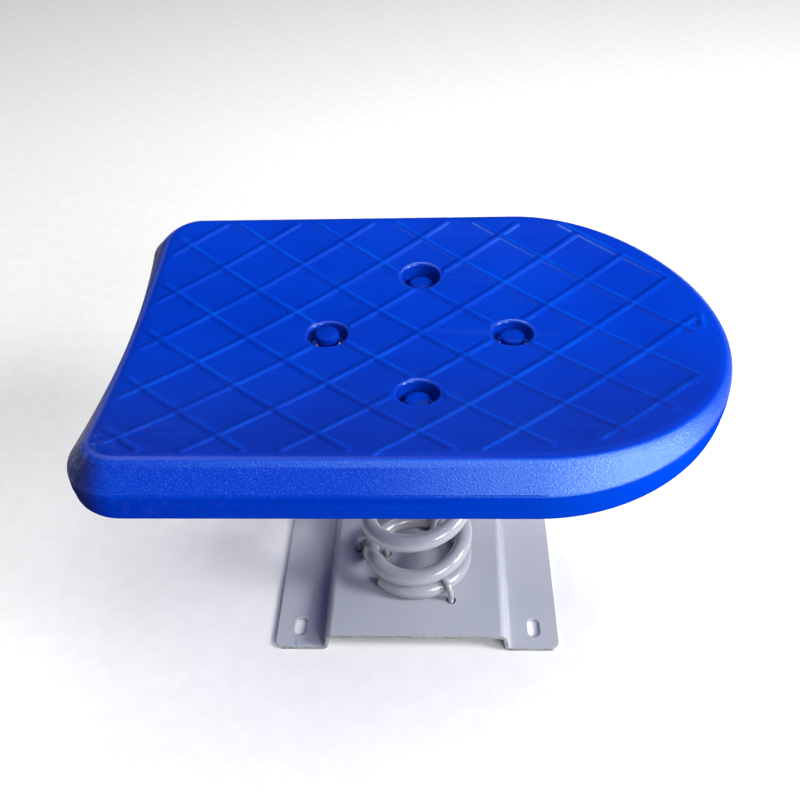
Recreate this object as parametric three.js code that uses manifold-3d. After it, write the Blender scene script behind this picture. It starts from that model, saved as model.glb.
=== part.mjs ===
// Spring bounce board: a dished, blow-moulded plastic deck on one heavy coil spring, clamped by
// U-bolts to a pressed steel top plate and to a hat-section base plate that bolts to the ground.
// Millimetres, +Z up, +X towards the rounded nose of the deck. The origin is on the ground, under
// the middle of the deck's length and width.
import * as THREE from 'three';
import { mergeVertices } from 'three/addons/utils/BufferGeometryUtils.js';
import Module from 'manifold-3d';

const wasm = await Module();
wasm.setup();

// ---- Driving dimensions -------------------------------------------------------------------
const GAP = 0.3; // clearance between pieces that rest on each other

const SPRING_X = -8; // spring axis, measured from the middle of the deck
const SPRING_Y = 5;
const WIRE_D = 22;
const COIL_D = 124; // mean coil diameter
const PITCH = 66.8;
const WIRE_START = 225; // degrees round the axis where the bottom wire end lies
const FLAT_TURN = 295; // degrees of wire that lie flat on the plate at each end
const STEP_TURN = 58; // degrees over which the wire steps up on to the end coil
const RAMP_TURN = 80; // degrees over which it then turns from level to full pitch

const BASE = { length: 270, width: 360, sheet: 5, height: 29, corner: 12 };
const BASE_Y = 15; // middle of the base plate; it reaches further back than forwards
const BASE_BEND = 7; // centreline bend radius of the hat section
const BASE_WEB_ANGLE = 80; // degrees from the horizontal
const BASE_FLAT = 105; // half width of the flat top of the hat
const ANCHOR = { x: 150, y: 103, width: 16, length: 28 }; // from the base plate's middle

const TOP_PLATE = { side: 200, sheet: 6, corner: 14 };
const DECK_BOLT_X = 101; // the four deck bolts lie on X and Y through the deck's centre
const DECK_BOLT_Y = 107;

const ROD_D = 8; // U-bolt rod
const ROD_HOLE_D = 12;
const ROD_TAIL = 14; // length of leg that stands past the plate
const LEG_OFFSET = 19.5; // from the wire's centre to each leg's centre
// Degrees along the wire from each wire end, and how far the bow rises past the wire's centre.
const U_BOLTS = [
  { turn: 78, rise: 15.2 },
  { turn: 197, rise: 18.5 },
  { turn: 302, rise: 18.5 },
];

const DECK_X = 2; // centre of the deck's four bolts
const DECK_BOTTOM = 373;
const DECK_THICK = 58; // at the rim
const DECK_HALF_WIDTH = 244;
const NOSE_START = 112; // where the straight sides end, from the middle of the four bolts
const NOSE_LENGTH = 219;
const NOSE_POWER = 1.95; // exponent of the superelliptic nose
const TAIL_MID = 322.5; // from the middle of the four bolts to the middle of the hollow tail
const TAIL_RADIUS = 1310; // of the shallow hollow in the tail
const TAIL_CORNER = 59;
const CHAMFER = { inset: 27, height: 27 };
const UNDER_CHAMFER = 6;
const DISH = 22; // depth of the trough along the middle of the deck
const DECK_WALL = 5;
const VENT_D = 8; // blow hole in the underside
const VENT_X = -200;

const RECESS_D = 43;
const RECESS_FLOOR = 391;
const DECK_BOLT = { d: 12, hole: 13, head: 18, headHeight: 7.5, washer: 28, washerHeight: 2.5, end: 350 };
const DECK_NUT = { across: 18, height: 10.8, flange: 26, flangeHeight: 2.5 };
const CAP = { d: 26, height: 12, wall: 1.6 };
const RAISED_CAP_LIFT = 5; // the left cap isn't pressed right down
const ROD_NUT = { across: 13, height: 6.5 };
const ROD_WASHER = { d: 16, height: 1.6 };
const POCKET = { r: 10.5, height: 14, wall: 4 }; // clears the U-bolt nuts under the deck

// ---- Derived sizes ------------------------------------------------------------------------
const WIRE_R = WIRE_D / 2;
const COIL_R = COIL_D / 2;
const RIM = DECK_BOTTOM + DECK_THICK;
const TOP_PLATE_TOP = DECK_BOTTOM - GAP;
const TOP_PLATE_BOTTOM = TOP_PLATE_TOP - TOP_PLATE.sheet;
const WIRE_BOTTOM_Z = BASE.height + GAP + WIRE_R;
const WIRE_TOP_Z = TOP_PLATE_BOTTOM - GAP - WIRE_R;
const STEP_RISE = WIRE_D + GAP;
const RAMP_START = FLAT_TURN + STEP_TURN;
const END_TURN = RAMP_START + RAMP_TURN;
const END_RISE = STEP_RISE + (PITCH * RAMP_TURN) / 720;
const FULL_PITCH_TURN = ((WIRE_TOP_Z - WIRE_BOTTOM_Z - 2 * END_RISE) / PITCH) * 360;
const WIRE_TURN = 2 * END_TURN + FULL_PITCH_TURN;
const TAU = Math.PI * 2;
const rad = THREE.MathUtils.degToRad;

// ---- Materials ----------------------------------------------------------------------------
const finish = (color, roughness, metalness) => ({ color, roughness, metalness });
const BLUE_PLASTIC = finish(0x0a3fd0, 0.42, 0);
const CAP_PLASTIC = finish(0x0b3cc4, 0.3, 0);
const GREY_PAINT = finish(0xa3a5b2, 0.38, 0.15);
const ZINC = finish(0xb9bcc2, 0.35, 0.9);

// ---- Solid helpers ------------------------------------------------------------------------
function toSolid(geometry) {
  const bare = geometry.clone();
  bare.deleteAttribute('normal');
  bare.deleteAttribute('uv');
  const merged = mergeVertices(bare, 1e-4);
  const vertProperties = new Float32Array(merged.attributes.position.array);
  const triVerts = new Uint32Array(merged.index.array);
  return new wasm.Manifold(new wasm.Mesh({ numProp: 3, vertProperties, triVerts }));
}

function toGeometry(solid) {
  const mesh = solid.getMesh();
  const geometry = new THREE.BufferGeometry();
  geometry.setAttribute('position', new THREE.BufferAttribute(mesh.vertProperties, 3));
  geometry.setIndex(new THREE.BufferAttribute(mesh.triVerts, 1));
  return geometry;
}

// A cylinder standing on z = bottom.
function disc(diameter, bottom, top, x = 0, y = 0, sides = 20) {
  const geometry = new THREE.CylinderGeometry(diameter / 2, diameter / 2, top - bottom, sides);
  geometry.rotateX(Math.PI / 2);
  geometry.translate(x, y, (bottom + top) / 2);
  return geometry;
}

function hexPrism(acrossFlats, bottom, top) {
  return disc(acrossFlats / Math.cos(Math.PI / 6), bottom, top, 0, 0, 6);
}

// A prism with the plan of a slot: straight sides and round ends, along local X.
function slotPrism(length, width, bottom, top, segments = 6) {
  const r = width / 2;
  const half = length / 2 - r;
  const shape = new THREE.Shape();
  shape.absarc(half, 0, r, -Math.PI / 2, Math.PI / 2);
  shape.absarc(-half, 0, r, Math.PI / 2, (Math.PI * 3) / 2);
  const geometry = new THREE.ExtrudeGeometry(shape, {
    depth: top - bottom,
    bevelEnabled: false,
    curveSegments: segments,
  });
  geometry.translate(0, 0, bottom);
  return geometry;
}

function roundedPlan(width, length, corner) {
  const x = width / 2 - corner;
  const y = length / 2 - corner;
  const shape = new THREE.Shape();
  shape.absarc(x, -y, corner, -Math.PI / 2, 0);
  shape.absarc(x, y, corner, 0, Math.PI / 2);
  shape.absarc(-x, y, corner, Math.PI / 2, Math.PI);
  shape.absarc(-x, -y, corner, Math.PI, (Math.PI * 3) / 2);
  return shape;
}

// ---- Scene graph --------------------------------------------------------------------------
const board = new THREE.Group();

function piece(name, geometry, look, parent = board) {
  const material = new THREE.MeshStandardMaterial(look);
  const mesh = new THREE.Mesh(geometry, material);
  mesh.name = name;
  parent.add(mesh);
  return mesh;
}

const springAxis = new THREE.Group();
springAxis.position.set(SPRING_X, SPRING_Y, 0);
board.add(springAxis);

const deckCentre = new THREE.Group();
deckCentre.position.x = DECK_X;
board.add(deckCentre);

// ---- Spring wire --------------------------------------------------------------------------
// Rise of the wire's centre after `turn` degrees from one end. The end coil is closed: it lies
// flat, steps up over its own end, turns gently up to the pitch and then keeps to it.
function climb(turn) {
  if (turn <= RAMP_START) return STEP_RISE * THREE.MathUtils.smoothstep(turn, FLAT_TURN, RAMP_START);
  if (turn <= END_TURN) return STEP_RISE + (PITCH * (turn - RAMP_START) ** 2) / (720 * RAMP_TURN);
  return END_RISE + (PITCH * (turn - END_TURN)) / 360;
}

function wireHeight(turn) {
  if (turn <= WIRE_TURN / 2) return WIRE_BOTTOM_Z + climb(turn);
  return WIRE_TOP_Z - climb(WIRE_TURN - turn);
}

class WireCurve extends THREE.Curve {
  constructor(from, to) {
    super();
    this.from = from;
    this.to = to;
  }
  getPoint(t, target = new THREE.Vector3()) {
    const turn = this.from + (this.to - this.from) * t;
    const angle = rad(WIRE_START + turn);
    return target.set(COIL_R * Math.cos(angle), COIL_R * Math.sin(angle), wireHeight(turn));
  }
}

const WIRE_SIDES = 8;
const WIRE_STEP = 14; // degrees of turn per facet

function wireSection(radius, sides) {
  const points = [];
  for (let i = 0; i < sides; i += 1) {
    const angle = (TAU * (i + 0.5)) / sides;
    points.push(new THREE.Vector2(radius * Math.cos(angle), radius * Math.sin(angle)));
  }
  return new THREE.Shape(points);
}

function addSpring() {
  const third = FULL_PITCH_TURN / 3;
  const cuts = [0, END_TURN + third, END_TURN + 2 * third, WIRE_TURN];
  const trim = (GAP / 2 / COIL_R) * (180 / Math.PI);
  const names = ['spring_lower_coils', 'spring_middle_coils', 'spring_upper_coils'];
  names.forEach((name, i) => {
    const from = cuts[i] + (i > 0 ? trim : 0);
    const to = cuts[i + 1] - (i < names.length - 1 ? trim : 0);
    const geometry = new THREE.ExtrudeGeometry(wireSection(WIRE_R, WIRE_SIDES), {
      steps: Math.ceil((to - from) / WIRE_STEP),
      extrudePath: new WireCurve(from, to),
      bevelEnabled: false,
    });
    piece(name, geometry, GREY_PAINT, springAxis);
  });
}

// ---- U-bolts ------------------------------------------------------------------------------
// Legs along Z, straddling the wire in local X; the half-elliptic bow passes over the wire's
// centre at z = 0.
class BowCurve extends THREE.Curve {
  constructor(legLength, rise) {
    super();
    this.legLength = legLength;
    this.rise = rise;
    this.bow = (Math.PI * (LEG_OFFSET + rise)) / 2;
    this.total = 2 * legLength + this.bow;
  }
  getPoint(t, target = new THREE.Vector3()) {
    const along = t * this.total;
    if (along < this.legLength) return target.set(-LEG_OFFSET, 0, along - this.legLength);
    if (along > this.legLength + this.bow) {
      return target.set(LEG_OFFSET, 0, this.legLength + this.bow - along);
    }
    const angle = Math.PI * (1 - (along - this.legLength) / this.bow);
    return target.set(LEG_OFFSET * Math.cos(angle), 0, this.rise * Math.sin(angle));
  }
}

function rodNut() {
  const nut = toSolid(hexPrism(ROD_NUT.across, 0, ROD_NUT.height));
  return toGeometry(nut.subtract(toSolid(disc(ROD_D + 2 * GAP, -1, ROD_NUT.height + 1, 0, 0, 12))));
}

function rodWasher() {
  const washer = toSolid(disc(ROD_WASHER.d, 0, ROD_WASHER.height, 0, 0, 16));
  return toGeometry(washer.subtract(toSolid(disc(ROD_D + 2 * GAP, -1, ROD_WASHER.height + 1, 0, 0, 12))));
}

// One clamp: a U-bolt over the wire, with a washer and a nut on each leg beyond the plate.
// `facing` is +1 for legs that point down through the base and -1 for legs that point up.
function addClamp(name, turn, rise, facing, farFace) {
  const clamp = new THREE.Group();
  const angle = rad(WIRE_START + turn);
  clamp.position.set(COIL_R * Math.cos(angle), COIL_R * Math.sin(angle), 0);
  clamp.rotation.z = angle;
  springAxis.add(clamp);

  const centre = wireHeight(turn);
  const legLength = Math.abs(centre - farFace) + ROD_TAIL;
  const rod = new THREE.ExtrudeGeometry(wireSection(ROD_D / 2, 8), {
    steps: 24,
    extrudePath: new BowCurve(legLength, rise),
    bevelEnabled: false,
  });
  if (facing < 0) rod.rotateX(Math.PI);
  rod.translate(0, 0, centre);
  piece(`${name}_u_bolt`, rod, ZINC, clamp);

  [['inner', -LEG_OFFSET], ['outer', LEG_OFFSET]].forEach(([side, x]) => {
    const washer = piece(`${name}_${side}_washer`, rodWasher(), ZINC, clamp);
    const nut = piece(`${name}_${side}_nut`, rodNut(), ZINC, clamp);
    const washerNear = farFace - facing * GAP;
    const nutNear = washerNear - facing * (ROD_WASHER.height + GAP);
    washer.position.set(x, 0, facing > 0 ? washerNear - ROD_WASHER.height : washerNear);
    nut.position.set(x, 0, facing > 0 ? nutNear - ROD_NUT.height : nutNear);
  });
}

function clampHoles(fromEnd, bottom, top) {
  const holes = [];
  U_BOLTS.forEach(({ turn }) => {
    const angle = rad(WIRE_START + (fromEnd ? WIRE_TURN - turn : turn));
    [-LEG_OFFSET, LEG_OFFSET].forEach((leg) => {
      const r = COIL_R + leg;
      holes.push(toSolid(disc(ROD_HOLE_D, bottom, top, r * Math.cos(angle), r * Math.sin(angle), 16)));
    });
  });
  return holes;
}

// ---- Base plate ---------------------------------------------------------------------------
// Centreline of the right half of the hat section, from the middle outwards, in (x, z).
function hatCentreline() {
  const high = BASE.height - BASE.sheet / 2;
  const low = BASE.sheet / 2;
  const bend = rad(BASE_WEB_ANGLE);
  const steps = 4;
  const points = [];
  for (let i = 0; i <= steps; i += 1) {
    const a = (bend * i) / steps;
    points.push([BASE_FLAT + BASE_BEND * Math.sin(a), high - BASE_BEND * (1 - Math.cos(a)), a]);
  }
  const webDrop = high - low - 2 * BASE_BEND * (1 - Math.cos(bend));
  const footStart = BASE_FLAT + 2 * BASE_BEND * Math.sin(bend) + webDrop / Math.tan(bend);
  for (let i = steps; i >= 0; i -= 1) {
    const a = (bend * i) / steps;
    points.push([footStart - BASE_BEND * Math.sin(a), low + BASE_BEND * (1 - Math.cos(a)), a]);
  }
  points.push([BASE.width / 2, low, 0]);
  return points;
}

// The same line moved half a sheet to its upper (+1) or lower (-1) side.
function hatFace(side) {
  const shift = (side * BASE.sheet) / 2;
  return hatCentreline().map(([x, z, a]) => [x + shift * Math.sin(a), z + shift * Math.cos(a)]);
}

function addBasePlate() {
  const upper = hatFace(1);
  const lower = hatFace(-1);
  const outline = [
    ...upper,
    ...lower.slice().reverse(),
    ...lower.map(([x, z]) => [-x, z]),
    ...upper.slice().reverse().map(([x, z]) => [-x, z]),
  ].map(([x, z]) => new THREE.Vector2(x, z));
  const section = new THREE.ExtrudeGeometry(new THREE.Shape(outline), {
    depth: BASE.length,
    bevelEnabled: false,
  });
  section.rotateX(Math.PI / 2);
  section.translate(0, BASE.length / 2, 0);

  const plan = new THREE.ExtrudeGeometry(roundedPlan(BASE.width, BASE.length, BASE.corner), {
    depth: BASE.height + 2,
    bevelEnabled: false,
    curveSegments: 4,
  });
  plan.translate(0, 0, -1);

  let plate = toSolid(section).intersect(toSolid(plan));
  [-ANCHOR.x, ANCHOR.x].forEach((x) => {
    [-ANCHOR.y, ANCHOR.y].forEach((y) => {
      const slot = slotPrism(ANCHOR.length, ANCHOR.width, -1, BASE.sheet + 1);
      slot.rotateZ(Math.PI / 2);
      slot.translate(x, y, 0);
      plate = plate.subtract(toSolid(slot));
    });
  });
  clampHoles(false, BASE.height - BASE.sheet - 1, BASE.height + 1).forEach((hole) => {
    plate = plate.subtract(hole.translate([0, SPRING_Y - BASE_Y, 0]));
  });
  const base = piece('base_plate', toGeometry(plate), GREY_PAINT, springAxis);
  base.position.y = BASE_Y - SPRING_Y;
}

// ---- Top plate ----------------------------------------------------------------------------
const BOLT_PLACES = [
  ['left', -DECK_BOLT_X, 0],
  ['right', DECK_BOLT_X, 0],
  ['front', 0, -DECK_BOLT_Y],
  ['back', 0, DECK_BOLT_Y],
];

function addTopPlate() {
  const shape = roundedPlan(TOP_PLATE.side, TOP_PLATE.side, TOP_PLATE.corner);
  const blank = new THREE.ExtrudeGeometry(shape, {
    depth: TOP_PLATE.sheet,
    bevelEnabled: false,
    curveSegments: 4,
  });
  blank.rotateZ(Math.PI / 4);
  blank.translate(DECK_X, 0, TOP_PLATE_BOTTOM);
  let plate = toSolid(blank);
  BOLT_PLACES.forEach(([, x, y]) => {
    const hole = disc(DECK_BOLT.hole, TOP_PLATE_BOTTOM - 1, TOP_PLATE_TOP + 1, x + DECK_X, y, 16);
    plate = plate.subtract(toSolid(hole));
  });
  clampHoles(true, TOP_PLATE_BOTTOM - 1, TOP_PLATE_TOP + 1).forEach((hole) => {
    plate = plate.subtract(hole.translate([SPRING_X, SPRING_Y, 0]));
  });
  piece('top_plate', toGeometry(plate), GREY_PAINT);
}

// ---- Deck ---------------------------------------------------------------------------------
// Plan outline: superelliptic nose, straight sides, round tail corners and a shallow hollow tail.
function deckOutline(inset) {
  const points = [];
  const noseSteps = 28;
  const a = NOSE_LENGTH - inset;
  const b = DECK_HALF_WIDTH - inset;
  for (let i = 0; i <= noseSteps; i += 1) {
    const t = -Math.PI / 2 + (Math.PI * i) / noseSteps;
    const x = NOSE_START + a * Math.abs(Math.cos(t)) ** (2 / NOSE_POWER);
    const y = b * Math.sign(Math.sin(t)) * Math.abs(Math.sin(t)) ** (2 / NOSE_POWER);
    points.push(new THREE.Vector2(x, y));
  }
  const cornerY = DECK_HALF_WIDTH - TAIL_CORNER;
  const tailCentreX = -TAIL_MID - TAIL_RADIUS;
  const reach = TAIL_RADIUS + TAIL_CORNER;
  const cornerX = tailCentreX + Math.sqrt(reach ** 2 - cornerY ** 2);
  const lean = Math.asin(cornerY / reach);
  const r = TAIL_CORNER - inset;
  const cornerSteps = 8;
  for (let i = 0; i <= cornerSteps; i += 1) {
    const t = Math.PI / 2 + ((Math.PI / 2 + lean) * i) / cornerSteps;
    points.push(new THREE.Vector2(cornerX + r * Math.cos(t), cornerY + r * Math.sin(t)));
  }
  const tailSteps = 6;
  const tailR = TAIL_RADIUS + inset;
  for (let i = 1; i < tailSteps; i += 1) {
    const t = lean - (2 * lean * i) / tailSteps;
    points.push(new THREE.Vector2(tailCentreX + tailR * Math.cos(t), tailR * Math.sin(t)));
  }
  for (let i = cornerSteps; i >= 0; i -= 1) {
    const t = Math.PI / 2 + ((Math.PI / 2 + lean) * i) / cornerSteps;
    points.push(new THREE.Vector2(cornerX + r * Math.cos(t), -cornerY - r * Math.sin(t)));
  }
  return new THREE.Shape(points);
}

// Everything above the trough: a prism along X whose lower face is the dished surface.
function aboveDish(drop) {
  const edge = DECK_HALF_WIDTH - CHAMFER.inset;
  const steps = 16;
  const points = [new THREE.Vector2(edge, RIM + 20), new THREE.Vector2(-edge, RIM + 20)];
  for (let i = 0; i <= steps; i += 1) {
    const y = -edge + (2 * edge * i) / steps;
    points.push(new THREE.Vector2(y, RIM - drop + DISH * ((y / edge) ** 2 - 1)));
  }
  const length = 2 * (TAIL_MID + TAIL_CORNER);
  const prism = new THREE.ExtrudeGeometry(new THREE.Shape(points), {
    depth: length,
    bevelEnabled: false,
  });
  prism.rotateX(Math.PI / 2);
  prism.rotateZ(Math.PI / 2);
  prism.translate(-length / 2, 0, 0);
  return toSolid(prism);
}

// The moulding's envelope, moved inwards by `inset` on every side.
function deckEnvelope(inset) {
  const bottom = DECK_BOTTOM + inset;
  const rim = RIM - inset;
  const shoulder = rim - CHAMFER.height;
  const shape = deckOutline(inset);
  const lower = new THREE.ExtrudeGeometry(shape, {
    depth: shoulder - bottom - 2 * UNDER_CHAMFER,
    bevelThickness: UNDER_CHAMFER,
    bevelSize: UNDER_CHAMFER,
    bevelOffset: -UNDER_CHAMFER,
    bevelSegments: 1,
  });
  lower.translate(0, 0, bottom + UNDER_CHAMFER);
  const band = new THREE.ExtrudeGeometry(shape, {
    depth: shoulder - bottom - 2 * UNDER_CHAMFER,
    bevelEnabled: false,
  });
  band.translate(0, 0, bottom + 2 * UNDER_CHAMFER);
  const crown = new THREE.ExtrudeGeometry(shape, {
    depth: 1,
    bevelThickness: CHAMFER.height,
    bevelSize: CHAMFER.inset,
    bevelOffset: -CHAMFER.inset,
    bevelSegments: 1,
  });
  crown.translate(0, 0, shoulder - 1);
  const below = toSolid(disc(2000, bottom, rim + 1, 0, 0, 4));
  return toSolid(lower).add(toSolid(band)).add(toSolid(crown).intersect(below)).subtract(aboveDish(inset));
}

function pocketPrism(turn, grow, height) {
  const angle = rad(WIRE_START + WIRE_TURN - turn);
  const prism = slotPrism(2 * (LEG_OFFSET + POCKET.r + grow), 2 * (POCKET.r + grow), -1, height);
  prism.translate(COIL_R, 0, 0);
  prism.rotateZ(angle);
  prism.translate(SPRING_X - DECK_X, SPRING_Y, DECK_BOTTOM);
  return toSolid(prism);
}

function addDeck() {
  let hollow = deckEnvelope(DECK_WALL);
  let cuts = toSolid(disc(VENT_D, DECK_BOTTOM - 1, DECK_BOTTOM + 2 * DECK_WALL, VENT_X, 0, 12));
  BOLT_PLACES.forEach(([, x, y]) => {
    hollow = hollow.subtract(toSolid(disc(RECESS_D + 2 * DECK_WALL, DECK_BOTTOM, RIM, x, y, 24)));
    cuts = cuts.add(toSolid(disc(RECESS_D, RECESS_FLOOR, RIM, x, y, 24)));
    cuts = cuts.add(toSolid(disc(DECK_BOLT.hole, DECK_BOTTOM - 1, RIM, x, y, 16)));
  });
  U_BOLTS.forEach(({ turn }) => {
    hollow = hollow.subtract(pocketPrism(turn, POCKET.wall, POCKET.height + POCKET.wall));
    cuts = cuts.add(pocketPrism(turn, 0, POCKET.height));
  });
  const shell = deckEnvelope(0).subtract(hollow).subtract(cuts);
  piece('deck_shell', toGeometry(shell), BLUE_PLASTIC, deckCentre);
}

// ---- Deck fasteners -----------------------------------------------------------------------
function deckBolt(seat) {
  const head = toSolid(hexPrism(DECK_BOLT.head, seat, seat + DECK_BOLT.headHeight));
  return toGeometry(head.add(toSolid(disc(DECK_BOLT.d, DECK_BOLT.end, seat + 1, 0, 0, 14))));
}

function deckNut(top) {
  const flange = toSolid(disc(DECK_NUT.flange, top - DECK_NUT.flangeHeight, top, 0, 0, 16));
  const nut = toSolid(hexPrism(DECK_NUT.across, top - DECK_NUT.height, top - 1));
  const bore = toSolid(disc(DECK_BOLT.d + 2 * GAP, top - DECK_NUT.height - 1, top + 1, 0, 0, 14));
  return toGeometry(nut.add(flange).subtract(bore));
}

// A thin cap with a nearly flat top that snaps over the bolt head; open underneath.
function boltCap() {
  const r = CAP.d / 2;
  const inner = r - CAP.wall;
  const shoulder = 1.6;
  const profile = [
    [inner, 0],
    [r, 0],
    [r, CAP.height - 2 * shoulder],
    [r - shoulder, CAP.height - shoulder / 2],
    [0, CAP.height],
    [0, CAP.height - CAP.wall],
    [inner - shoulder, CAP.height - CAP.wall - shoulder / 2],
    [inner, CAP.height - 2 * shoulder],
    [inner, 0],
  ].map(([x, y]) => new THREE.Vector2(x, y));
  const cap = new THREE.LatheGeometry(profile, 20);
  cap.rotateX(Math.PI / 2);
  return toGeometry(toSolid(cap));
}

function addDeckFasteners() {
  const washerBottom = RECESS_FLOOR + GAP;
  const seat = washerBottom + DECK_BOLT.washerHeight + GAP;
  BOLT_PLACES.forEach(([place, x, y]) => {
    const stack = new THREE.Group();
    stack.position.set(x, y, 0);
    deckCentre.add(stack);
    const ring = toSolid(disc(DECK_BOLT.washer, washerBottom, washerBottom + DECK_BOLT.washerHeight));
    const bore = toSolid(disc(DECK_BOLT.d + 2 * GAP, washerBottom - 1, seat + 1, 0, 0, 14));
    piece(`deck_washer_${place}`, toGeometry(ring.subtract(bore)), ZINC, stack);
    piece(`deck_bolt_${place}`, deckBolt(seat), ZINC, stack);
    piece(`deck_nut_${place}`, deckNut(TOP_PLATE_BOTTOM - GAP), ZINC, stack);
    const cap = piece(`bolt_cap_${place}`, boltCap(), CAP_PLASTIC, stack);
    cap.position.z = seat + (place === 'left' ? RAISED_CAP_LIFT : 0);
  });
}

// ---- Assembly -----------------------------------------------------------------------------
addBasePlate();
U_BOLTS.forEach(({ turn, rise }, i) => {
  addClamp(`lower_clamp_${i + 1}`, turn, rise, 1, BASE.height - BASE.sheet);
});
addSpring();
U_BOLTS.forEach(({ turn, rise }, i) => {
  addClamp(`upper_clamp_${i + 1}`, WIRE_TURN - turn, rise, -1, TOP_PLATE_TOP);
});
addTopPlate();
addDeck();
addDeckFasteners();

export default board;
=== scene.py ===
# Spring bounce board: shapes, materials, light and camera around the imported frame.
# Lengths are millimetres in the shape code and are scaled to metres when a mesh is made.
import math

import bmesh
import bpy
import numpy as np
from mathutils import Matrix, Vector, kdtree


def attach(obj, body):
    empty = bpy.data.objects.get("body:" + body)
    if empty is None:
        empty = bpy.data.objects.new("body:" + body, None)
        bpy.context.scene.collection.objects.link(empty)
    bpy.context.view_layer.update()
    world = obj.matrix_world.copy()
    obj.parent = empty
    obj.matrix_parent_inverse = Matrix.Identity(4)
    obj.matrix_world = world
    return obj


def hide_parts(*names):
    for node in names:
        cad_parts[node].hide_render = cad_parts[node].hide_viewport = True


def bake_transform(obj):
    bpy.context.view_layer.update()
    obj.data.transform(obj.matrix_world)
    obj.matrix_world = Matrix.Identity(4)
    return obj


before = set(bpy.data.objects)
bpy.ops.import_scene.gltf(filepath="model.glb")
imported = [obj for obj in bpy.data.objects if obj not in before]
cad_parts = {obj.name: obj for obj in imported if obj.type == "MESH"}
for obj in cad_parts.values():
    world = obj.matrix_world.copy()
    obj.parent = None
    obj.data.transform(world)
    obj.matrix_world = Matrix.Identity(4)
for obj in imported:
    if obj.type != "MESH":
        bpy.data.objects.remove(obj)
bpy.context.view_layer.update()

MM = 0.001
TAU = 2 * math.pi

# ---- Dimensions, as in the CAD source -------------------------------------------------------
SPRING_X, SPRING_Y = -8.0, 5.0
WIRE_R = 11.0
COIL_R = 62.0
PITCH = 66.8
WIRE_START = 225.0
FLAT_TURN, STEP_TURN, RAMP_TURN = 295.0, 58.0, 80.0
WIRE_BOTTOM_Z = 40.3
WIRE_TOP_Z = 355.4
STEP_RISE = 2 * WIRE_R + 0.3
RAMP_START = FLAT_TURN + STEP_TURN
END_TURN = RAMP_START + RAMP_TURN
END_RISE = STEP_RISE + PITCH * RAMP_TURN / 720
FULL_PITCH_TURN = (WIRE_TOP_Z - WIRE_BOTTOM_Z - 2 * END_RISE) / PITCH * 360
WIRE_TURN = 2 * END_TURN + FULL_PITCH_TURN

BASE_LENGTH, BASE_WIDTH, BASE_SHEET, BASE_HEIGHT, BASE_CORNER = 270.0, 360.0, 5.0, 29.0, 12.0
BASE_Y = 15.0
BASE_BEND, BASE_WEB_ANGLE, BASE_FLAT = 7.0, 80.0, 105.0
ANCHOR_X, ANCHOR_Y, ANCHOR_WIDTH, ANCHOR_LENGTH = 150.0, 103.0, 16.0, 28.0

TOP_PLATE_SIDE, TOP_PLATE_CORNER = 200.0, 14.0
TOP_PLATE_BOTTOM, TOP_PLATE_TOP = 366.7, 372.7
DECK_BOLT_X, DECK_BOLT_Y = 101.0, 107.0

ROD_R, ROD_HOLE_R, ROD_TAIL, LEG_OFFSET = 4.0, 6.0, 14.0, 19.5
U_BOLTS = ((78.0, 15.2), (197.0, 18.5), (302.0, 18.5))  # (turn along the wire, rise of the bow)

DECK_X = 2.0
DECK_BOTTOM, RIM, SHOULDER = 373.0, 431.0, 404.0
DECK_HALF_WIDTH, NOSE_START, NOSE_LENGTH, NOSE_POWER = 244.0, 112.0, 219.0, 1.95
TAIL_MID, TAIL_RADIUS, TAIL_CORNER = 322.5, 1310.0, 59.0
CHAMFER_INSET, DISH = 27.0, 22.0
UNDER_ROUND = 6.0
VENT_X, VENT_R = -200.0, 4.0
RECESS_R, RECESS_FLOOR = 21.5, 391.0
CAP_R, CAP_HEIGHT, RAISED_CAP_LIFT = 13.0, 12.0, 5.0
POCKET_R, POCKET_HEIGHT = 10.5, 14.0

BOLT_PLACES = {
    "left": (-DECK_BOLT_X, 0.0),
    "right": (DECK_BOLT_X, 0.0),
    "front": (0.0, -DECK_BOLT_Y),
    "back": (0.0, DECK_BOLT_Y),
}


def smooth(edge0, edge1, x):
    t = np.clip((x - edge0) / (edge1 - edge0), 0.0, 1.0)
    return t * t * (3 - 2 * t)


# ---- Mesh helpers ---------------------------------------------------------------------------
def make_object(name, verts, faces, material, sharp=40.0):
    mesh = bpy.data.meshes.new(name)
    mesh.from_pydata((np.asarray(verts, float) * MM).tolist(), [], faces)
    obj = bpy.data.objects.new(name, mesh)
    bpy.context.scene.collection.objects.link(obj)
    mesh.materials.append(material)
    finish_shading(obj, sharp)
    return obj


def finish_shading(obj, sharp=40.0):
    mesh = obj.data
    mesh.polygons.foreach_set("use_smooth", np.ones(len(mesh.polygons), bool))
    mesh.set_sharp_from_angle(angle=math.radians(sharp))
    mesh.update()


def loft(rings, wrap=False, flip=False):
    """Quads between rings of equal length, with flat ends, or joined end to start."""
    rings = np.asarray(rings, float)
    count, sides = rings.shape[:2]
    faces = []
    for i in range(count if wrap else count - 1):
        a, b = i * sides, ((i + 1) % count) * sides
        for j in range(sides):
            k = (j + 1) % sides
            quad = (a + j, a + k, b + k, b + j)
            faces.append(quad[::-1] if flip else quad)
    if not wrap:
        start = tuple(range(sides - 1, -1, -1))
        end = tuple(range((count - 1) * sides, count * sides))
        faces.append(start[::-1] if flip else start)
        faces.append(end[::-1] if flip else end)
    return rings.reshape(-1, 3), faces


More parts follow.
